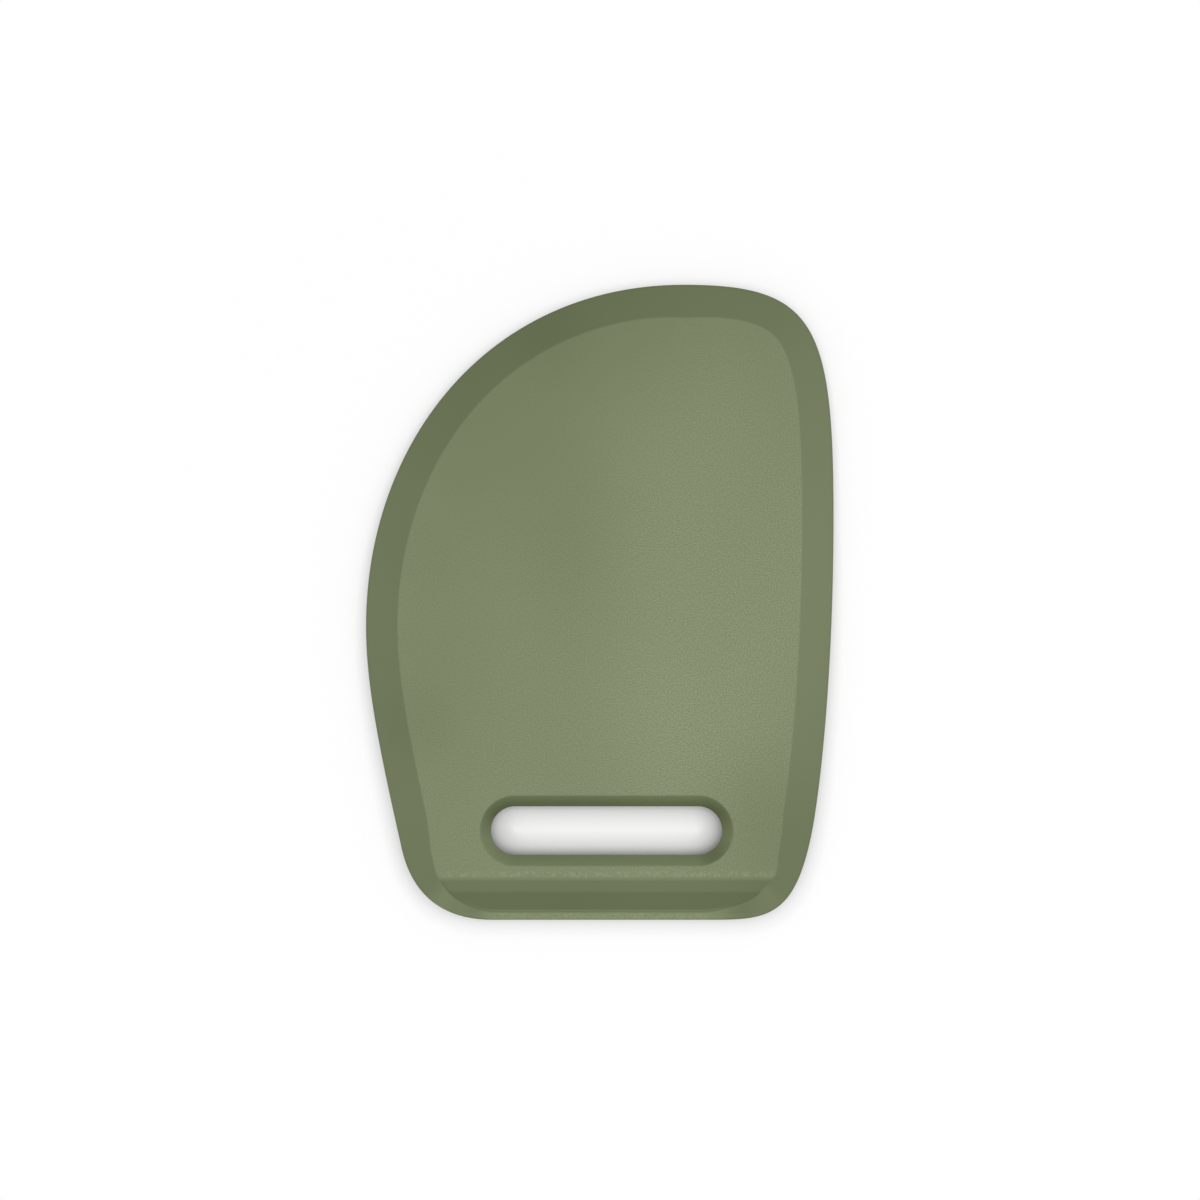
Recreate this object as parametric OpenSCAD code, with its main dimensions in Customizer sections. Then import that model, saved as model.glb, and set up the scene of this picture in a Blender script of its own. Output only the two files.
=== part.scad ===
// Dough scraper: a stiff core plate moulded inside one soft silicone jacket.
// It lies on its back face, with the straight blade towards -Y and the curved end towards +Y.
// Front and back are alike, so either face can be held against the bowl.

/* [Outline] */
// Length from the straight blade to the top of the curve
body_l = 160; // [140:1:180]
// Width between the widest points of the two sides
body_w = 117.8; // [105:0.1:135]

/* [Section] */
// Thickness of the flat middle
body_t = 7; // [6:0.1:9]
// Thickness of the blade edge all round
edge_t = 1.4; // [1:0.1:2]
// Width of the bevel that thins the sides and the curve down to the edge
bevel_w = 8; // [6:0.1:10]

/* [Straight blade] */
// Width of the thin flat lip along the straight edge
lip_w = 1.8; // [1:0.1:3]
// Distance from the straight edge to the line where the ramp changes slope
knee_d = 7.1; // [6:0.1:8]
// Depth of that line below the face
knee_drop = 0.8; // [0.5:0.1:1.3]
// Distance from the straight edge to the upper end of the ramp
ramp_l = 10.4; // [9.5:0.1:12]
// Length over which the ramp rounds into the face
shoulder_w = 1.3; // [0.6:0.1:2]
// Width of the small step that ends the ramp at both corners
step_w = 0.6; // [0.3:0.1:1]
// Depth of that step
step_h = 0.15; // [0:0.05:0.4]

/* [Finger slot] */
// Length of the slot from end to end
slot_l = 58.2; // [40:0.1:66]
// Width of the slot
slot_w = 12.2; // [10:0.1:15]
// Distance from the straight edge to the middle of the slot
slot_d = 22.5; // [21.5:0.1:40]
// Place of the slot's middle, measured sideways from the middle of the body
slot_x = 1.7; // [-3:0.1:4]
// Width of the rounded bevel around the slot
slot_bevel_w = 2.8; // [1.5:0.1:4]
// Depth of that bevel on each face
slot_bevel_h = 2.5; // [1.5:0.1:2.8]

/* [Core plate] */
// Thickness of the core plate
core_t = 2.4; // [1.6:0.1:3]
// Silicone between the blade edge and the plate, all round
core_inset = 6; // [5:0.1:8]
// Silicone between the slot and the plate
slot_wall = 3; // [2:0.1:4.5]
// Diameter of the holes that lock the silicone to the plate
lock_hole_d = 5; // [3:0.1:7]
// Distance from the plate's rim to the middle of a lock hole
lock_hole_inset = 6; // [5:0.1:9]
// Distance between the lock holes, rounded so that they share the run evenly
lock_hole_pitch = 22; // [14:1:40]

/* [Smoothness] */
// Straight pieces along each span of the outline
span_steps = 26; // [12:1:36]
// Level lines along each slope of the ramp
ramp_steps = 8; // [4:1:12]
// Straight pieces across the rounded bevel of the slot
slot_bevel_steps = 4; // [2:1:6]

/* [Hidden] */
$fn = 64;

// How far a cut runs past the surface that it opens
overrun = 1;

half_l = body_l / 2;
half_w = body_w / 2;
// Height of the face above the edge, on each side of the middle plane
rise = (body_t - edge_t) / 2;
// Distance from the straight edge at which the flat face begins
face_d = ramp_l + shoulder_w / 2;
// Distance from the straight edge at which the ramp begins
foot_d = lip_w + step_w;

// The outline runs counter-clockwise from the widest point of the right side.
// Each row is an anchor between its two curve handles, as shares of half the
// width and half the length. The two bottom rows are the ends of the straight edge.
outline_shares = [
    [[1, -0.23], [1, 0.27], [1, 0.88]],
    [[0.92, 1], [0.36, 1], [-0.475, 1]],
    [[-1, 0.505], [-1, -0.075], [-1, -0.235]],
    [[-0.96, -0.41], [-0.855, -0.75], [-0.84, -0.8]],
    [[-0.8, -1], [-0.46, -1], [-0.46, -1]],
    [[0.46, -1], [0.46, -1], [0.705, -1]],
    [[0.825, -1], [0.9, -0.75], [0.94, -0.62]]
];
// Spans beside the flat face, in order, and the two that round the bottom corners
side_spans = [6, 0, 1, 2];
left_corner = 3;
right_corner = 5;

// How late in a corner the bevel gives way to the straight blade: 1 is evenly
corner_power = 1.5;
// On the right the flat face runs straight on to the ramp, so the bevel beside it
// narrows sooner: by this share at most, over this share of the corner
early_share = 0.25;
early_reach_share = 0.46;
// How the level lines crowd towards the lip, where the outline turns: 1 is evenly
level_power = 1.5;
// How much the slot's bevel leans towards a round one: 0 is flat
slot_round_share = 0.45;

function sized(share) = [share[0] * half_w, share[1] * half_l];

// The four control points of the span that leaves an anchor
function span(i) =
    let (after = outline_shares[(i + 1) % len(outline_shares)])
    [sized(outline_shares[i][1]), sized(outline_shares[i][2]), sized(after[0]), sized(after[1])];

function curve_point(p, t) =
    (1 - t) ^ 3 * p[0] + 3 * (1 - t) ^ 2 * t * p[1] + 3 * (1 - t) * t ^ 2 * p[2] + t ^ 3 * p[3];

function curve_slope(p, t) =
    (1 - t) ^ 2 * (p[1] - p[0]) + 2 * (1 - t) * t * (p[2] - p[1]) + t ^ 2 * (p[3] - p[2]);

function inward(v) = [-v[1], v[0]] / norm(v);

// How far the side bevel has given way to the straight blade, from 0 to 1
function given_way(i, t) =
    let (along = i == left_corner ? t : i == right_corner ? 1 - t : 0,
         early = i == right_corner ? sin(180 * min(along / early_reach_share, 1)) ^ 2 : 0)
    along ^ corner_power + early_share * early;

// A station is a point of the outline, its inward direction, and how far the bevel
// has given way there
function station(i, t) =
    let (p = span(i))
    [curve_point(p, t), inward(curve_slope(p, t)), given_way(i, t)];

function inset(s, d) = s[0] + d * s[1];

function edge_distance(p) = p[1] + half_l;

// The bevel narrows from its full width to the lip's as it rounds a corner
function skirt_w(s) = bevel_w + (lip_w - bevel_w) * s[2];

// The bevel's inner line, and the line just inside it where the face or the ramp begins
function foot(s) = inset(s, skirt_w(s));
function brow(s) = inset(s, skirt_w(s) + step_w);

// Height of the ramp and the face above the lip, at a distance from the straight edge
function ramp_rise(d) =
    let (slopes = [[lip_w, 0], [knee_d, rise - knee_drop], [ramp_l, rise]],
         half = shoulder_w / 2,
         reach = max(half - abs(d - ramp_l), 0))
    lookup(d, slopes) - knee_drop / (ramp_l - knee_d) * reach ^ 2 / (4 * half);

// The bevel ends at the height of the face and the ramp, less the step, which fades
// in and out at the upper and the lower end of the ramp
function foot_rise(s) =
    let (r = ramp_rise(edge_distance(foot(s))))
    r - step_h * min(1, min(rise - r, r) / knee_drop);

// Where along a corner the brow lies at a given distance from the straight edge
function corner_place(i, d, low = 0, high = 1, tries = 30) =
    let (mid = (low + high) / 2,
         above = edge_distance(brow(station(i, mid))) > d,
         onward = above == (i == left_corner))
    tries == 0 ? mid : corner_place(i, d, onward ? mid : low, onward ? high : mid, tries - 1);

function steps_between(i, from, to, count, first) =
    [for (k = [first : count]) station(i, from + (to - from) * k / count)];

// Level lines of the ramp, from just below the flat face to just above the lip
shoulder_levels = [for (k = [1 : ramp_steps]) face_d - shoulder_w * k / ramp_steps];
upper_steps = ceil(ramp_steps / 2);
upper_levels = [
    for (k = [1 : upper_steps]) face_d - shoulder_w - (face_d - shoulder_w - knee_d) * k / upper_steps
];
lower_levels = [
    for (k = [1 : ramp_steps - 1]) foot_d + (knee_d - foot_d) * (1 - k / ramp_steps) ^ level_power
];
levels = concat(shoulder_levels, upper_levels, lower_levels);

left_start = corner_place(left_corner, face_d);
right_start = corner_place(right_corner, face_d);

// Stations beside the flat face, up the right side, over the top and down the left
side_stations = [for (i = side_spans) each steps_between(i, 0, 1, span_steps, 1)];
face_stations = concat(
    steps_between(right_corner, right_start, 1, ramp_steps, 0),
    side_stations,
    steps_between(left_corner, 0, left_start, ramp_steps, 1)
);
// Stations beside the ramp, one for each level line, down the left and up the right
left_stations = concat(
    [for (d = levels) station(left_corner, corner_place(left_corner, d))],
    [station(left_corner, 1)]
);
right_stations = concat(
    [station(right_corner, 0)],
    [for (k = [len(levels) - 1 : -1 : 0]) station(right_corner, corner_place(right_corner, levels[k]))]
);
stations = concat(face_stations, left_stations, right_stations);
count = len(stations);
face_count = len(face_stations);
strip_count = len(left_stations);

// One half of the section at a station, from the edge inwards: edge, skirt, brow
function half_section(s) =
    let (low = foot(s), high = brow(s))
    [
        [s[0][0], s[0][1], edge_t / 2],
        [low[0], low[1], edge_t / 2 + foot_rise(s)],
        [high[0], high[1], edge_t / 2 + ramp_rise(edge_distance(high))]
    ];

function flipped(p) = [p[0], p[1], -p[2]];

sections = [for (s = stations) half_section(s)];
// Closed rings from the back brow, round the edge, to the front brow
rings = [
    [for (h = sections) flipped(h[2])],
    [for (h = sections) flipped(h[1])],
    [for (h = sections) flipped(h[0])],
    [for (h = sections) h[0]],
    [for (h = sections) h[1]],
    [for (h = sections) h[2]]
];

// Strip k of the ramp joins two level lines from the left corner to the right one
function strip(k) =
    let (left = face_count - 1 + k, right = (count - k) % count)
    [left, left + 1, count - k - 1, right];

function on_ring(r, corners) = [for (c = corners) r * count + c];
function turned(corners) = [for (k = [len(corners) - 1 : -1 : 0]) corners[k]];

// The rim and the ramp: a closed band of rings round the flat face, front and back
module rim_and_ramp() {
    last = len(rings) - 1;
    strips = [for (k = [0 : strip_count - 1]) strip(k)];
    bands = [
        for (r = [0 : last - 1], i = [0 : count - 1])
            let (j = (i + 1) % count, a = r * count, b = a + count)
            each [[a + i, b + i, b + j], [a + i, b + j, a + j]]
    ];
    inner_wall = [
        for (i = [0 : face_count - 1])
            let (j = (i + 1) % face_count, b = last * count)
            [i, j, b + j, b + i]
    ];
    polyhedron(
        points = [for (ring = rings) each ring],
        faces = concat(
            bands,
            inner_wall,
            [for (corners = strips) on_ring(0, corners)],
            [for (corners = strips) turned(on_ring(last, corners))]
        )
    );
}

// The flat middle, which fills the band from face to face
module flat_middle() {
    linear_extrude(body_t, center = true) polygon([for (s = face_stations) brow(s)]);
}

// The slot's section, straight wall and rounded bevels: whole, or one side of its middle line
module slot_section(whole) {
    half_t = body_t / 2;
    bevel = [
        for (k = [0 : slot_bevel_steps])
            let (u = k / slot_bevel_steps, drop = u * (1 - slot_round_share) + slot_round_share * u ^ 2)
            [slot_w / 2 + slot_bevel_w * (1 - u), half_t - slot_bevel_h * drop]
    ];
    side = concat([[bevel[0][0], half_t + overrun]], bevel);
    wall = concat(side, [for (k = [len(side) - 1 : -1 : 0]) [side[k][0], -side[k][1]]]);
    axis = [[0, -half_t - overrun], [0, half_t + overrun]];
    other = [for (k = [len(wall) - 1 : -1 : 0]) [-wall[k][0], wall[k][1]]];
    polygon(whole ? concat(wall, other) : concat(wall, axis));
}

// The slot's whole cutter: a straight run between two half turns
module finger_slot() {
    straight_l = slot_l - slot_w;
    translate([slot_x, slot_d - half_l, 0]) {
        rotate([90, 0, 90]) linear_extrude(straight_l, center = true) slot_section(true);
        for (end = [0, 1]) mirror([end, 0, 0])
            translate([straight_l / 2, 0, 0]) rotate([0, 0, -90]) rotate_extrude(angle = 180)
                slot_section(false);
    }
}

// A window of the slot's shape, wider by the silicone that lines it
window_r = slot_w / 2 + slot_wall;

module slot_window() {
    h = core_t + 2 * overrun;
    straight_l = slot_l - slot_w;
    translate([slot_x, slot_d - half_l, 0]) {
        cube([straight_l, 2 * window_r, h], center = true);
        for (end = [-1, 1]) translate([end * straight_l / 2, 0, 0])
            cylinder(r = window_r, h = h, center = true);
    }
}

// The lock holes share one run that follows the curve, from level with the window's
// top on the right side to the same level on the left
function run_lengths(path, i = 0, total = 0) =
    i == len(path) - 1 ? [total]
    : concat([total], run_lengths(path, i + 1, total + norm(path[i + 1] - path[i])));

lock_path = [
    for (s = side_stations)
        let (p = inset(s, core_inset + lock_hole_inset))
        if (edge_distance(p) > slot_d + window_r) p
];
lock_lengths = run_lengths(lock_path);
lock_run = lock_lengths[len(lock_lengths) - 1];
lock_count = floor(lock_run / lock_hole_pitch);
lock_x = [for (i = [0 : len(lock_path) - 1]) [lock_lengths[i], lock_path[i][0]]];
lock_y = [for (i = [0 : len(lock_path) - 1]) [lock_lengths[i], lock_path[i][1]]];

module lock_holes() {
    for (k = [0 : lock_count]) {
        s = lock_run * k / lock_count;
        translate([lookup(s, lock_x), lookup(s, lock_y), 0])
            cylinder(d = lock_hole_d, h = core_t + 2 * overrun, center = true);
    }
}

// The plate's solid, which is also the space that the jacket leaves for it
module core_body() {
    difference() {
        linear_extrude(core_t, center = true) polygon([for (s = stations) inset(s, core_inset)]);
        slot_window();
        lock_holes();
    }
}

module silicone_jacket() {
    color([0.49, 0.53, 0.41]) translate([0, 0, body_t / 2]) difference() {
        union() {
            flat_middle();
            rim_and_ramp();
        }
        finger_slot();
        core_body();
    }
}

module core_plate() {
    color([0.2, 0.21, 0.2]) translate([0, 0, body_t / 2]) core_body();
}

silicone_jacket();
core_plate();
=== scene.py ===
"""Dough scraper: a soft silicone jacket moulded round a stiff plate, lying on its back face."""
import math
from collections import namedtuple

import bmesh
import bpy
from mathutils import Matrix, Vector


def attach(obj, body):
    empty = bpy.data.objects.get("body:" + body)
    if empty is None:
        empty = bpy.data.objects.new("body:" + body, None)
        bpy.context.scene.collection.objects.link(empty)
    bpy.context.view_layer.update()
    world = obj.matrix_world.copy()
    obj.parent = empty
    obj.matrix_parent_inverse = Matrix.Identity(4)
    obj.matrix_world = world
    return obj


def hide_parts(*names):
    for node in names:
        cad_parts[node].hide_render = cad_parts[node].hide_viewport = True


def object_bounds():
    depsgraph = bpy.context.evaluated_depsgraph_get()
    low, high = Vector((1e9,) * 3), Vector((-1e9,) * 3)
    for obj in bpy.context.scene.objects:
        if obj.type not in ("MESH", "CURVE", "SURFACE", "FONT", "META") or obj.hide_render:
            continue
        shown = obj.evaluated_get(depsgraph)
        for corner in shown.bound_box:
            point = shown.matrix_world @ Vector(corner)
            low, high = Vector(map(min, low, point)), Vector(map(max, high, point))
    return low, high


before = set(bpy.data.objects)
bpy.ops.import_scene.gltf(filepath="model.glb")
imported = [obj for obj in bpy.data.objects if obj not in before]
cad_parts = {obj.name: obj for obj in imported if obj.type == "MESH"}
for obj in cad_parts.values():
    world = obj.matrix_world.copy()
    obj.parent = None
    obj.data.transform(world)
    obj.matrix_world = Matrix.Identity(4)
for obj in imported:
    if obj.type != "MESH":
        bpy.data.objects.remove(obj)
cad_low, cad_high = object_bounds()


# Core plate
# A flat plate of dark glass-filled nylon, injection moulded first, with a window round the
# finger slot and a row of holes that lock the silicone to it. The jacket hides all of it.

mm = 0.001
fibre_scale = 2600
fibre_height = 0.05 * mm
# Between these values of the fibres' noise they come out as paler flecks
fleck_levels = (0.52, 0.72)
flow_scale = 60
flow_stretch = (1, 0.16, 1)
flow_wander = 0.8
nylon_roughness = (0.42, 0.6)


def colour(red, green, blue):
    """A colour written as the 0 to 255 values of a screen, in the linear light that shaders use."""
    def linear(value):
        value /= 255
        return value / 12.92 if value <= 0.04045 else ((value + 0.055) / 1.055) ** 2.4
    return (linear(red), linear(green), linear(blue), 1)


def new_finish(name):
    """An empty finish, and its shader."""
    finish = bpy.data.materials.new(name)
    finish.use_nodes = True
    return finish, finish.node_tree.nodes["Principled BSDF"]


def feed(socket, value):
    """Links a socket to another one, or sets it to a plain value."""
    if isinstance(value, bpy.types.NodeSocket):
        socket.id_data.links.new(value, socket)
    else:
        socket.default_value = value


def add_node(tree, kind, inputs=None, **settings):
    """Adds a node with its settings, and feeds each of its inputs."""
    node = tree.nodes.new(kind)
    for key, value in settings.items():
        setattr(node, key, value)
    for key, value in (inputs or {}).items():
        feed(node.inputs[key], value)
    return node


def place_on(finish):
    """The place of a point on the piece, in metres."""
    return add_node(finish.node_tree, "ShaderNodeTexCoord").outputs["Object"]


def stretched(place, scale, start=(0, 0, 0)):
    inputs = {"Vector": place, "Scale": scale, "Location": start}
    return add_node(place.id_data, "ShaderNodeMapping", inputs).outputs["Vector"]


def noise(place, scale, detail, roughness=0.5, distortion=0):
    inputs = {
        "Vector": place, "Scale": scale, "Detail": detail, "Roughness": roughness,
        "Distortion": distortion}
    return add_node(place.id_data, "ShaderNodeTexNoise", inputs).outputs[0]


def between(value, low, high, to_low, to_high, smooth=False):
    """Turns low to to_low and high to to_high, evenly or smoothly between, and holds the ends."""
    inputs = {
        "Value": value, "From Min": low, "From Max": high, "To Min": to_low, "To Max": to_high}
    curve = "SMOOTHSTEP" if smooth else "LINEAR"
    node = add_node(value.id_data, "ShaderNodeMapRange", inputs, interpolation_type=curve)
    return node.outputs[0]


def mixed(factor, first_colour, second_colour):
    """The first colour where the factor is 0, and the second where it is 1."""
    inputs = {0: factor, 6: first_colour, 7: second_colour}
    return add_node(factor.id_data, "ShaderNodeMix", inputs, data_type="RGBA").outputs[2]


def bumps(height, strength, depth):
    inputs = {"Height": height, "Strength": strength, "Distance": depth}
    return add_node(height.id_data, "ShaderNodeBump", inputs).outputs[0]


dark_resin = colour(44, 46, 44)
pale_resin = colour(62, 64, 60)
fleck_colour = colour(98, 99, 94)

nylon, shader = new_finish("core_nylon")
shader.inputs["IOR"].default_value = 1.53
# The melt runs up the plate from its foot, and draws the glass fibres out along it
along_flow = stretched(place_on(nylon), flow_stretch)
fibres = noise(along_flow, fibre_scale, detail=3)
flow = noise(along_flow, flow_scale, detail=2, distortion=flow_wander)
flecks = between(fibres, *fleck_levels, 0, 1)
resin_colour = mixed(flow, dark_resin, pale_resin)
feed(shader.inputs["Base Color"], mixed(flecks, resin_colour, fleck_colour))
feed(shader.inputs["Roughness"], between(flow, 0, 1, *nylon_roughness))
feed(shader.inputs["Normal"], bumps(fibres, strength=0.35, depth=fibre_height))

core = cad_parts["core_plate"]
core.data.materials.clear()
core.data.materials.append(nylon)


# Silicone jacket: outline and section
# One moulding of matt olive silicone, shot round the plate in a two-part mould that closes at
# mid edge. Its rim thins in a bevel, and in a two-slope ramp to a flat lip at the straight blade.

half_l = (cad_high.y - cad_low.y) / 2
half_w = (cad_high.x - cad_low.x) / 2
half_t = (cad_high.z - cad_low.z) / 2
edge_t = 1.4 * mm
bevel_w = 8 * mm
lip_w = 1.8 * mm
knee_d = 7.1 * mm
knee_drop = 0.8 * mm
ramp_l = 10.4 * mm
shoulder_w = 1.3 * mm
knee_w = 0.6 * mm
step_w = 0.6 * mm
step_h = 0.15 * mm
margin_w = 0.5 * mm
rise = half_t - edge_t / 2
face_d = ramp_l + shoulder_w / 2

# The bevel is a little narrower just above each bottom corner, at these distances from the
# straight edge, and a little wider on the right of the top, at these from the centre line
left_ease = 0.4 * mm
right_ease = 0.6 * mm
ease_start = 11.5 * mm
ease_end = 26.5 * mm
top_swell = 0.36 * mm
swell_start = 10 * mm
swell_end = 33 * mm

# Each row is an anchor between its two curve handles, as shares of half the width and half the
# length, counter-clockwise from the widest point of the right side
outline_shares = (
    ((1, -0.23), (1, 0.27), (1, 0.88)),
    ((0.92, 1), (0.36, 1), (-0.475, 1)),
    ((-1, 0.505), (-1, -0.075), (-1, -0.235)),
    ((-0.96, -0.41), (-0.855, -0.75), (-0.84, -0.8)),
    ((-0.8, -1), (-0.46, -1), (-0.46, -1)),
    ((0.46, -1), (0.46, -1), (0.705, -1)),
    ((0.825, -1), (0.9, -0.75), (0.94, -0.62)),
)
side_spans = (6, 0, 1, 2)
left_corner = 3
right_corner = 5

# How the bevel gives way to the lip down a corner. On the right it also starts a little early
corner_power = 1.5
early_share = 0.25
early_reach_share = 0.46

Station = namedtuple("Station", "point inward given_way along")


def within(share):
    return min(max(share, 0), 1)


def soft_bump(place, start, end):
    """Rises from 0 at the start to 1 half way, and falls back to 0 at the end."""
    return math.sin(math.pi * within((place - start) / (end - start))) ** 2


def station(span, t):
    """A point of the outline with its inward direction, how far the bevel has given way to the lip
    there, and the share of the way down a bottom corner."""
    here = outline_shares[span]
    after = outline_shares[(span + 1) % len(outline_shares)]
    a, b, c, d = (Vector((x * half_w, y * half_l)) for x, y in (*here[1:], *after[:2]))
    u = 1 - t
    point = u ** 3 * a + 3 * u * u * t * b + 3 * u * t * t * c + t ** 3 * d
    slope = u * u * (b - a) + 2 * u * t * (c - b) + t * t * (d - c)
    along = {left_corner: t, right_corner: u}.get(span, 0)
    early = soft_bump(along, 0, early_reach_share) if span == right_corner else 0
    given_way = along ** corner_power + early_share * early
    return Station(point, Vector((-slope.y, slope.x)).normalized(), given_way, along)


def inset(s, distance):
    return s.point + distance * s.inward


def edge_distance(point):
    return point.y + half_l


def skirt_w(s):
    """Width of the bevel: full on the sides and the top, and down to the lip's at the blade."""
    ease = right_ease if s.point.x > 0 else left_ease
    ease *= soft_bump(edge_distance(s.point), ease_start, ease_end)
    swell = top_swell * soft_bump(s.point.x, swell_start, swell_end) if s.point.y > 0 else 0
    return bevel_w + (lip_w - bevel_w) * s.given_way - ease + swell


def inner_w(s):
    """Width of the whole band: the bevel, the small step at its head and a margin of the flat."""
    return skirt_w(s) + step_w + margin_w


def rounded_off(d, middle, width, slope_change):
    """How much a rounding of this width takes off where two slopes meet."""
    reach = max(width / 2 - abs(d - middle), 0)
    return slope_change * reach ** 2 / (2 * width)


def top_rise(point):
    """Height of the flat face or the ramp over the lip."""
    d = edge_distance(point)
    lower = (rise - knee_drop) / (knee_d - lip_w)
    upper = knee_drop / (ramp_l - knee_d)
    sharp = min(max(d - lip_w, 0) * lower, rise - knee_drop + (d - knee_d) * upper, rise)
    shoulder_cut = rounded_off(d, ramp_l, shoulder_w, upper)
    knee_cut = rounded_off(d, knee_d, knee_w, lower - upper)
    return sharp - shoulder_cut - knee_cut


# The level lines of the ramp lie close where its height bends, and closer towards the lip
shoulder_steps = 10
upper_steps = 5
knee_steps = 4
lower_steps = 26
level_power = 1.5
side_steps = 56
corner_steps = 14
halvings = 40


def corner_place(span, d):
    """Where along a corner the inner line lies at distance d from the straight edge."""
    low, high = 0.0, 1.0
    for _ in range(halvings):
        t = (low + high) / 2
        s = station(span, t)
        above = edge_distance(inset(s, inner_w(s))) > d
        low, high = (t, high) if above == (span == left_corner) else (low, t)
    return (low + high) / 2


def even(start, end, steps):
    """Steps from start to end, without the start itself."""
    return [start + (end - start) * k / steps for k in range(1, steps + 1)]


shoulder_end = face_d - shoulder_w
knee_start = knee_d + knee_w / 2
knee_end = knee_d - knee_w / 2
lower_start = knee_d - knee_w
lowest = lip_w + step_w + margin_w
levels = (
    even(face_d, shoulder_end, shoulder_steps)
    + even(shoulder_end, knee_d + knee_w, upper_steps)
    + [knee_start]
    + even(knee_start, knee_end, knee_steps)
    + [lowest + (lower_start - lowest) * (1 - k / lower_steps) ** level_power
       for k in range(lower_steps)]
)
left_start = corner_place(left_corner, face_d)
right_start = corner_place(right_corner, face_d)
face_stations = (
    [station(right_corner, t) for t in [right_start] + even(right_start, 1, corner_steps)]
    + [station(span, t) for span in side_spans for t in even(0, 1, side_steps)]
    + [station(left_corner, t) for t in even(0, left_start, corner_steps)]
)
left_stations = [station(left_corner, corner_place(left_corner, d)) for d in levels]
left_stations.append(station(left_corner, 1))
right_stations = [station(right_corner, 0)]
right_stations += [station(right_corner, corner_place(right_corner, d)) for d in reversed(levels)]
stations = face_stations + left_stations + right_stations

# How deep the colour is: 0 on the grained flats, 1 where it is deepest. It comes partly from the
# polished finish of the smooth surfaces and partly from painted shade on the slopes. The bevel has
# one value, which ends at the blade, and each slope of the ramp has its own, the lower slope darker
# with painted shade. Towards the blade the step between bevel and ramp turns into a fillet, with
# its own value too
side_polish_and_shade = 0.39
rim_power = 9
upper_polish_and_shade = 0.64
lower_polish_and_shade = 0.8
fillet_polish_and_shade = 0.5
fillet_power = 6
# Down each corner painted highlights and painted shade come and go: start, end, and the change
# half way between them, lighter below 0
left_changes = ((0.56, 0.84, -0.25), (0.82, 1.02, 0.26))
right_changes = ((0.33, 0.6, -0.11), (0.6, 0.94, 0.24))

parting_w = 0.05 * mm
edge_round = 0.5 * mm
edge_steps = 6
crease_round = 0.2 * mm
crease_steps = 4
brow_steps = 3
hold_share = 1.4


def rounded(before, corner, after, reach, steps):
    """Points that round a corner of a section, and one on each side that holds the flat flat."""
    start = corner + (before - corner).normalized() * reach
    end = corner + (after - corner).normalized() * reach
    curve = [
        start * (1 - t) ** 2 + corner * 2 * t * (1 - t) + end * t ** 2
        for t in (k / steps for k in range(steps + 1))]
    hold_before, hold_after = (corner + (place - corner) * hold_share for place in (start, end))
    return [hold_before, *curve, hold_after]


def past_crease(distance):
    """Rises from 0 to 1 across the rounding of a crease, from this far outside or inside it."""
    return within(distance / crease_round / 2 + 0.5)


def polish_and_shade_at(s, distance):
    """Polished finish and painted shade at an inset: the bevel's own up to its crease, then that
    of the face or the ramp.
    """
    rim_polish_and_shade = side_polish_and_shade * (1 - s.given_way ** rim_power)
    for start, end, change in right_changes if s.point.x > 0 else left_changes:
        rim_polish_and_shade += change * soft_bump(s.along, start, end)
    d = edge_distance(inset(s, distance))
    inner_polish_and_shade = upper_polish_and_shade * within((face_d - d) / shoulder_w)
    inner_polish_and_shade += (lower_polish_and_shade - upper_polish_and_shade) * within((knee_start - d) / knee_w)
    skirt = skirt_w(s)
    if distance < skirt + step_w + crease_round:
        inner_polish_and_shade += (fillet_polish_and_shade - inner_polish_and_shade) * s.given_way ** fillet_power
    return rim_polish_and_shade + (inner_polish_and_shade - rim_polish_and_shade) * past_crease(distance - skirt)


def section(s):
    """Points from the parting line in to the face or the ramp: inset, height, and polished finish
    with painted shade.
    """
    skirt = skirt_w(s)
    foot_rise = top_rise(inset(s, skirt))
    foot_rise -= step_h * min(1, min(rise - foot_rise, foot_rise) / knee_drop)
    wall = Vector((parting_w, 0))
    side = Vector((parting_w, edge_t / 2))
    foot = Vector((skirt, edge_t / 2 + foot_rise))
    brow, inner = (
        Vector((w, edge_t / 2 + top_rise(inset(s, w)))) for w in (skirt + step_w, inner_w(s)))
    # The parting line stands a little proud, and its foot already holds the wall flat
    line = [Vector((0, 0)), Vector((parting_w, parting_w))]
    line += rounded(wall, side, foot, edge_round, edge_steps)[1:]
    line += rounded(side, foot, brow, crease_round, crease_steps)
    line += rounded(foot, brow, inner, crease_round, brow_steps)
    line.append(inner)
    return [(point.x, point.y, polish_and_shade_at(s, point.x)) for point in line]


sections = [section(s) for s in stations]

jacket_mesh = bmesh.new()
station_tag = jacket_mesh.verts.layers.int.new("station")
polish_and_shade_tag = jacket_mesh.verts.layers.float.new("polish_and_shade")


def grow(edges):
    """Extrudes a ring of edges, and gives the new ring and its vertices."""
    grown = bmesh.ops.extrude_edge_only(jacket_mesh, edges=edges)["geom"]
    new_ring = [g for g in grown if isinstance(g, bmesh.types.BMEdge) and g.is_boundary]
    return new_ring, [g for g in grown if isinstance(g, bmesh.types.BMVert)]


parting = []
for k, s in enumerate(stations):
    vertex = jacket_mesh.verts.new((*s.point, 0))
    vertex[station_tag] = k
    vertex[polish_and_shade_tag] = sections[k][0][2]
    parting.append(vertex)
ring = [jacket_mesh.edges.new((parting[k - 1], parting[k])) for k in range(len(parting))]
for step in range(1, len(sections[0])):
    ring, new_vertices = grow(ring)
    for vertex in new_vertices:
        k = vertex[station_tag]
        distance, height, polish_and_shade = sections[k][step]
        vertex.co = (*inset(stations[k], distance), height)
        vertex[polish_and_shade_tag] = polish_and_shade

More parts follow.
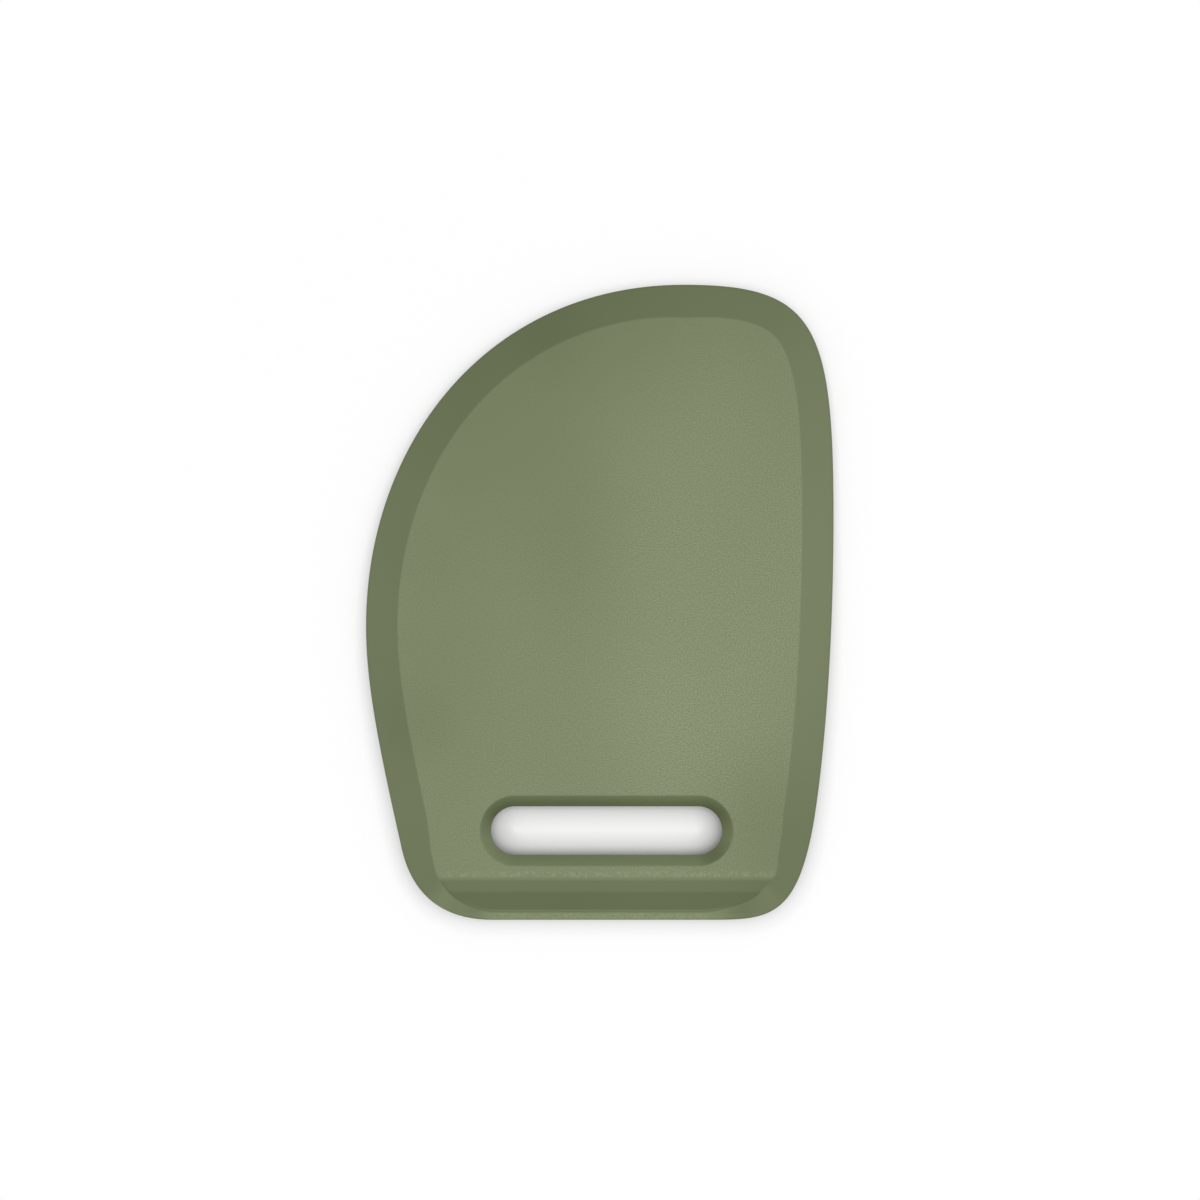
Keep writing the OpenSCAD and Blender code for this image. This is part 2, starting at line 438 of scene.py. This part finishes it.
# The ramp: level lines run straight from the left corner to the right one. Down both corners the
# inner line is followed from the shoulder to the blade
inner_line = {vertex[station_tag]: vertex for edge in ring for vertex in edge.verts}
last_on_face = len(face_stations) - 1
left_line = [inner_line[last_on_face + k] for k in range(len(left_stations) + 1)]
right_line = [inner_line[-k % len(stations)] for k in range(len(right_stations) + 1)]


def edges_along(line):
    """The edges of the ring that join one vertex of the line to the next."""
    pairs = {frozenset(pair) for pair in zip(line, line[1:])}
    return [edge for edge in ring if frozenset(edge.verts) in pairs]


bmesh.ops.bridge_loops(jacket_mesh, edges=edges_along(left_line) + edges_along(right_line))
shoulder_edge = next(
    edge for edge in left_line[0].link_edges if edge.other_vert(left_line[0]) is right_line[0])


# Silicone jacket: finger slot
# A slot with half-round ends goes right through, wide enough for two fingertips or a rail hook.
# Its rim rolls over in a soft bevel on both faces, and the silicone lines it all round.

slot_l = 58.2 * mm
slot_w = 12.2 * mm
slot_d = 22.5 * mm
slot_x = 1.7 * mm
slot_bevel_w = 2.8 * mm
slot_bevel_h = 2.5 * mm
slot_round_share = 0.45
wall_round = 0.25 * mm
slot_segments = 114
# The bevel is cut in even steps between the first two of these shares of the way down it. The
# last is near its rim, and as near its wall, and gives the direction in which it meets them
slot_steps = 6
steps_start = 0.92
steps_end = 0.2
near = 0.1
slot_y = slot_d - half_l
slot_run = (slot_l - slot_w) / 2

# The slot's bevel deepens partly from its polished finish and partly from painted shade. The
# side nearer the curved end gets the most painted shade, and so do all the bends but the lower
# left, which gets a painted highlight. The upper side gets darker the deeper it goes, and the
# lower side lighter
slot_polish_and_shade = 0.28
upper_side_shade = 0.44
upper_share_at_ends = 0.32
upper_share_gain = 1.1
upper_bend_shade = 0.15
right_bend_shade = 0.55
right_bend_power = 1.5
left_bend_shade = -0.1
depth_gain = 0.4


def slot_polish_and_shade_at(outward):
    """Polished finish and painted shade of the slot's bevel that lies out from the slot in this
    direction.
    """
    if outward.y > 0:
        bend_shade = upper_bend_shade
    elif outward.x > 0:
        bend_shade = right_bend_shade * (-outward.y) ** right_bend_power
    else:
        bend_shade = left_bend_shade
    bend = abs(outward.x * outward.y) * 2
    upper = within(upper_share_at_ends + upper_share_gain * outward.y)
    return slot_polish_and_shade + upper_side_shade * upper + bend_shade * bend


def slot_bevel(u):
    """A point at a share of the way down the bevel: how far out it lies, and how high."""
    drop = u * (1 - slot_round_share) + slot_round_share * u ** 2
    return Vector((slot_w / 2 + slot_bevel_w * (1 - u), half_t - slot_bevel_h * drop))


# From the wall up the bevel and out on to the flat face
slot_wall = Vector((slot_w / 2, 0))
slot_rim = slot_bevel(0)
on_the_flat = slot_rim + Vector((mm, 0))
slot_line = rounded(slot_wall, slot_bevel(1), slot_bevel(1 - near), wall_round, crease_steps)
slot_line += [slot_bevel(u) for u in even(steps_start, steps_end, slot_steps)]
slot_line += rounded(slot_bevel(near), slot_rim, on_the_flat, crease_round, crease_steps)

quarter_turn = Matrix.Rotation(math.radians(90), 4, "Z")
slot_ring = bmesh.ops.create_circle(
    jacket_mesh, radius=slot_w / 2, segments=slot_segments,
    matrix=Matrix.Translation((slot_x, slot_y, 0)) @ quarter_turn)["verts"]
for vertex in slot_ring:
    vertex[polish_and_shade_tag] = slot_polish_and_shade_at((vertex.co.xy - Vector((slot_x, slot_y))).normalized())
    vertex.co.x += math.copysign(slot_run, vertex.co.x - slot_x)
ring_of_slot = list(dict.fromkeys(edge for vertex in slot_ring for edge in vertex.link_edges))
for radius, height in slot_line:
    ring_of_slot, new_vertices = grow(ring_of_slot)
    depth = slot_w / 2 + slot_bevel_w - radius
    # Painted shade that grows with depth on the upper side, and fades with it on the lower side
    deeper = depth_gain * (within(depth / slot_bevel_w) - 0.5)
    for vertex in new_vertices:
        end_middle = Vector((slot_x + math.copysign(slot_run, vertex.co.x - slot_x), slot_y))
        outward = (vertex.co.xy - end_middle).normalized()
        vertex.co = (*(end_middle + outward * radius), height)
        share = past_crease(depth) * (1 + deeper * outward.y)
        vertex[polish_and_shade_tag] = slot_polish_and_shade_at(outward) * share

# The flat face fills the space between the inner line, the ramp and the slot
face_line = [inner_line[k] for k in range(len(face_stations))]
bmesh.ops.triangle_fill(
    jacket_mesh, use_beauty=True, edges=edges_along(face_line) + [shoulder_edge] + ring_of_slot)

# The back is the front mirrored at mid edge
weld = 0.001 * mm
bmesh.ops.mirror(
    jacket_mesh, geom=jacket_mesh.verts[:] + jacket_mesh.edges[:] + jacket_mesh.faces[:],
    matrix=Matrix.Identity(4), merge_dist=weld, axis="Z")
bmesh.ops.remove_doubles(jacket_mesh, verts=jacket_mesh.verts, dist=weld)
bmesh.ops.translate(jacket_mesh, vec=(0, 0, half_t), verts=jacket_mesh.verts)
bmesh.ops.recalc_face_normals(jacket_mesh, faces=jacket_mesh.faces)
for face in jacket_mesh.faces:
    face.smooth = True

# Inside, the jacket is hollow where the plate sits
hollow = bmesh.new()
hollow.from_mesh(core.data)
bmesh.ops.remove_doubles(hollow, verts=hollow.verts, dist=weld)
bmesh.ops.reverse_faces(hollow, faces=hollow.faces)
for face in hollow.faces:
    face.smooth = False
hollow_mesh = bpy.data.meshes.new("jacket_hollow")
hollow.to_mesh(hollow_mesh)
hollow.free()
jacket_mesh.from_mesh(hollow_mesh)
bpy.data.meshes.remove(hollow_mesh)


def into_scene(name, data):
    """Puts a mesh, a light or a camera into the scene at the origin."""
    made = bpy.data.objects.new(name, data)
    bpy.context.scene.collection.objects.link(made)
    return made


def built(name, mesh):
    """Turns a finished mesh into an object of the scene."""
    data = bpy.data.meshes.new(name)
    mesh.to_mesh(data)
    mesh.free()
    return into_scene(name, data)


jacket = built("jacket", jacket_mesh)


# Silicone jacket: finish
# The flats come from an etched mould and carry a fine grain that scatters the light. The bevels,
# the ramp and the slot are polished and deeper in colour, partly as painted shade. Soft blotches
# and round spots of painted light and shade lie over the whole jacket.

face_colour = colour(115, 126, 91)
deep_colour = colour(77, 86, 52)
# Where the painted light is brighter it is also paler, as a painted sheen: red, green and blue
# rise by these shares
paler = (1.12, 1.03, 1.4)
# Two layers of painted light and shade in soft blotches: their scale, their start, and the
# shades where their noise is 0 and 1
cloud_roughness = 0.4
broad_scale = (12, 8.4, 12)
broad_start = (-142.8, -66, 0.4)
broad_shades = (0.087, -0.56)
small_scale = (16, 8, 16)
small_start = (-37.8, -54.6, 0.4)
small_shades = (0, 0.434)
# Each round spot of painted light or shade: its middle across and along the scraper and its
# radius, in mm, and how much paler it is there, or darker below 0
painted_light_patches = (
    (38, -54, 26, -0.115),
    (22, -68, 15, -0.05),
    (-46, -31, 16, -0.1),
    (-13, 67, 19, -0.08),
    (-47, 12, 17, -0.06),
    (-11, 11, 19, -0.035),
    (5, -25, 28, 0.035),
    (0, 41, 22, 0.035),
)
# The grain fades out up to this value of the polished finish and painted shade, and it is
# stronger where the painted blotches are brighter, as painted glints on the grain
grain_end = 0.25
grain_scale = 3000
grain_levels = (0.3, 0.7)
grain_shades = (-0.09, 0.09)
grain_height = 0.03 * mm
glint_shades = (-0.1, 0.22)
glint_range = (0.65, 4.2)
pore_scale = 1100
grained_roughness = 0.62
polished_roughness = 0.46
# A row of small painted highlights on the crest, where the flat face turns down into the ramp
crest_y = face_d - half_l
crest_fade = 0.4 * mm
crest_w = 0.9 * mm
crest_end = 1.5 * mm
crest_highlight_levels = (0.45, 0.7)
crest_highlight_shade = 0.2
# Painted light along the thin lip, for the light that comes through it
lip_y = lip_w - half_l
lip_fade = 0.3 * mm
lip_shade = 0.07


def combined(operation, first, *others):
    """Adds, multiplies or compares values, from the first one on."""
    for other in others:
        inputs = {0: first, 1: other}
        first = add_node(first.id_data, "ShaderNodeMath", inputs, operation=operation).outputs[0]
    return first


def vectors_combined(operation, *vectors):
    inputs = dict(enumerate(vectors))
    node = add_node(vectors[0].id_data, "ShaderNodeVectorMath", inputs, operation=operation)
    return node.outputs["Value" if operation == "LENGTH" else "Vector"]


def distance_from(middle, place, stretch=(1, 1, 1)):
    """How far a place lies from the middle, with each direction counted by its own share."""
    away = vectors_combined("SUBTRACT", place, middle)
    return vectors_combined("LENGTH", vectors_combined("MULTIPLY", away, stretch))


def y_of(place):
    return add_node(place.id_data, "ShaderNodeSeparateXYZ", {0: place}).outputs["Y"]


silicone, shader = new_finish("silicone")
shader.inputs["IOR"].default_value = 1.42
shader.inputs["Sheen Weight"].default_value = 0.04
shader.inputs["Sheen Roughness"].default_value = 0.4
place = place_on(silicone)
polish_and_shade = add_node(
    silicone.node_tree, "ShaderNodeAttribute", attribute_name="polish_and_shade").outputs["Fac"]
grained = between(polish_and_shade, 0, grain_end, 1, 0, smooth=True)


def painted_light_clouds(scale, start, shades):
    """Soft blotches of painted light and shade, longer along the scraper than across it."""
    cloudy = noise(stretched(place, scale, start), 1, detail=1, roughness=cloud_roughness)
    return between(cloudy, 0, 1, *shades)


# Painted light and shade: two layers of soft blotches, then the round spots over them
shade = combined(
    "ADD",
    painted_light_clouds(broad_scale, broad_start, broad_shades),
    painted_light_clouds(small_scale, small_start, small_shades))
# Painted glints: the grain is stronger where the painted blotches are brighter
grain_glint = between(shade, *glint_shades, *glint_range)
for x, y, radius, change in painted_light_patches:
    from_patch = distance_from((x * mm, y * mm, 0), place)
    shade = combined("ADD", shade, between(from_patch, 0, radius * mm, change, 0, smooth=True))
grain = noise(place, grain_scale, detail=2, roughness=0.6)
speckle = combined(
    "MULTIPLY", between(grain, *grain_levels, *grain_shades), grained, grain_glint)

along_y = y_of(place)
crest = combined(
    "MULTIPLY",
    between(along_y, crest_y - crest_fade, crest_y, 0, 1, smooth=True),
    between(along_y, crest_y + crest_w, crest_y + crest_end, 1, 0, smooth=True))
pores = noise(place, pore_scale, detail=1)
crest_highlights = combined("MULTIPLY", between(pores, *crest_highlight_levels, 0, crest_highlight_shade), crest, grained)
lip_light = between(along_y, lip_y - lip_fade, lip_y, lip_shade, 0)
shade = combined("ADD", shade, crest_highlights, lip_light, speckle)

# The painted light and shade lighten or darken the colour, and the lighter parts are paler
tone = vectors_combined("MULTIPLY_ADD", shade, paler, (1, 1, 1))
# The colour deepens with the polished finish and with the painted shade on the slopes
base = mixed(polish_and_shade, face_colour, deep_colour)
feed(shader.inputs["Base Color"], vectors_combined("MULTIPLY", base, tone))
feed(shader.inputs["Roughness"], between(polish_and_shade, 0, 1, grained_roughness, polished_roughness))
relief = combined("MULTIPLY", combined("ADD", grain, pores), grained)
feed(shader.inputs["Normal"], bumps(relief, strength=0.3, depth=grain_height))
jacket.data.materials.append(silicone)

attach(jacket, "root")
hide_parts("silicone_jacket")


# Floor
# A white sheet that the scraper lies on. It shows the soft shadow under the rim and in the slot,
# and is plain white further out.

floor_half = 8
white = (1, 1, 1, 1)
bounce_white = (0.9, 0.9, 0.9, 1)
# Out from the slot's middle, where a step along the slot counts less, the slot's own shade ends
# and the sheet turns partly to plain white. Well past the rim it turns to it wholly
slot_shape = (0.4, 1, 1)
shade_end = 12 * mm
near_slot = 14 * mm
past_slot = 18 * mm
slot_white = 0.55
near_rim = 110 * mm
past_rim = 150 * mm
slot_bottom = slot_y - slot_w / 2
slot_top = slot_y + slot_w / 2
# The shadow is longer towards the blade, and in the slot it is also softer than round the rim
rim_reaches = (5.8 * mm, 2.6 * mm)
slot_reaches = (8.7 * mm, 4.5 * mm)
slot_softness = (0.15, 0.48)
# Deep under the rim the white gives out too
deepest_contact = 0.05
clear_contact = 0.5
deepest_white = 0.2


def mixed_value(factor, first_value, second_value):
    """The first value where the factor is 0, and the second where it is 1."""
    inputs = {0: factor, 2: first_value, 3: second_value}
    return add_node(factor.id_data, "ShaderNodeMix", inputs).outputs[0]


floor_mesh = bmesh.new()
bmesh.ops.create_grid(floor_mesh, x_segments=1, y_segments=1, size=floor_half)
floor = built("floor", floor_mesh)

sheet, shader = new_finish("white_sheet")
tree = sheet.node_tree
place = place_on(sheet)
floor_y = y_of(place)
from_slot = distance_from((slot_x, slot_y, 0), place, slot_shape)
plain_share = combined(
    "ADD",
    between(from_slot, near_slot, past_slot, 0, slot_white, smooth=True),
    between(distance_from((0, 0, 0), place), near_rim, past_rim, 0, 1 - slot_white, smooth=True))
in_slot = between(from_slot, shade_end, near_slot, 1, 0, smooth=True)
reach = mixed_value(
    in_slot,
    between(floor_y, -half_l, half_l, *rim_reaches),
    between(floor_y, slot_bottom, slot_top, *slot_reaches))
softer = combined("MULTIPLY", in_slot, between(floor_y, slot_bottom, slot_top, *slot_softness))
contact = add_node(
    tree, "ShaderNodeAmbientOcclusion", {"Distance": reach}, samples=8).outputs["Color"]
matt = add_node(tree, "ShaderNodeBsdfDiffuse", {"Color": mixed(softer, contact, white)}).outputs[0]
plain_strength = between(contact, deepest_contact, clear_contact, deepest_white, 1)
plain = add_node(tree, "ShaderNodeEmission", {"Strength": plain_strength}).outputs[0]
seen = add_node(tree, "ShaderNodeMixShader", {0: plain_share, 1: matt, 2: plain}).outputs[0]
# The light that the scraper gets back from the sheet is that of plain matt paper
bounce = add_node(tree, "ShaderNodeBsdfDiffuse", {"Color": bounce_white}).outputs[0]
by_camera = add_node(tree, "ShaderNodeLightPath").outputs["Is Camera Ray"]
surface = add_node(tree, "ShaderNodeMixShader", {0: by_camera, 1: bounce, 2: seen}).outputs[0]
feed(tree.nodes["Material Output"].inputs["Surface"], surface)
tree.nodes.remove(shader)
floor.data.materials.append(sheet)


# Light
# A broad soft panel overhead, a second one high on the right, and even light from all round.

even_light = 0.55

world = bpy.data.worlds.new("studio")
bpy.context.scene.world = world
world.use_nodes = True
sky = world.node_tree.nodes["Background"]
rays = add_node(world.node_tree, "ShaderNodeLightPath").outputs
# Seen directly, in a reflection or through something, the surroundings are plain white
direct = combined(
    "MAXIMUM", rays["Is Camera Ray"], rays["Is Glossy Ray"], rays["Is Transmission Ray"])
feed(sky.inputs["Color"], white)
feed(sky.inputs["Strength"], between(direct, 0, 1, even_light, 1))


def panel(name, azimuth, elevation, distance, size, power):
    """A square soft panel that faces the middle of the scraper. Azimuth 0 is +X, and 90 is +Y."""
    light = bpy.data.lights.new(name, "AREA")
    light.shape = "SQUARE"
    light.size = size
    light.energy = power
    lamp = into_scene(name, light)
    a = math.radians(azimuth)
    e = math.radians(elevation)
    towards = Vector((math.cos(a) * math.cos(e), math.sin(a) * math.cos(e), math.sin(e)))
    lamp.location = towards * distance
    lamp.rotation_euler = towards.to_track_quat("Z", "Y").to_euler()
    lamp.visible_camera = False


panel("overhead_panel", azimuth=-90, elevation=83, distance=1.6, size=1.2, power=11)
panel("right_panel", azimuth=0, elevation=55, distance=1.8, size=1, power=3.8)


# Camera
# It looks straight down from 3 m over mid edge, and its frame is 302 mm wide there.

camera_height = 3
camera_x = 0.05 * mm
camera_y = 0.567 * mm

camera_data = bpy.data.cameras.new("camera")
camera_data.sensor_width = 36
camera_data.lens = 357.25
camera = into_scene("camera", camera_data)
camera.location = (camera_x, camera_y, camera_height + half_t)
bpy.context.scene.camera = camera
bpy.context.scene.view_settings.view_transform = "Standard"
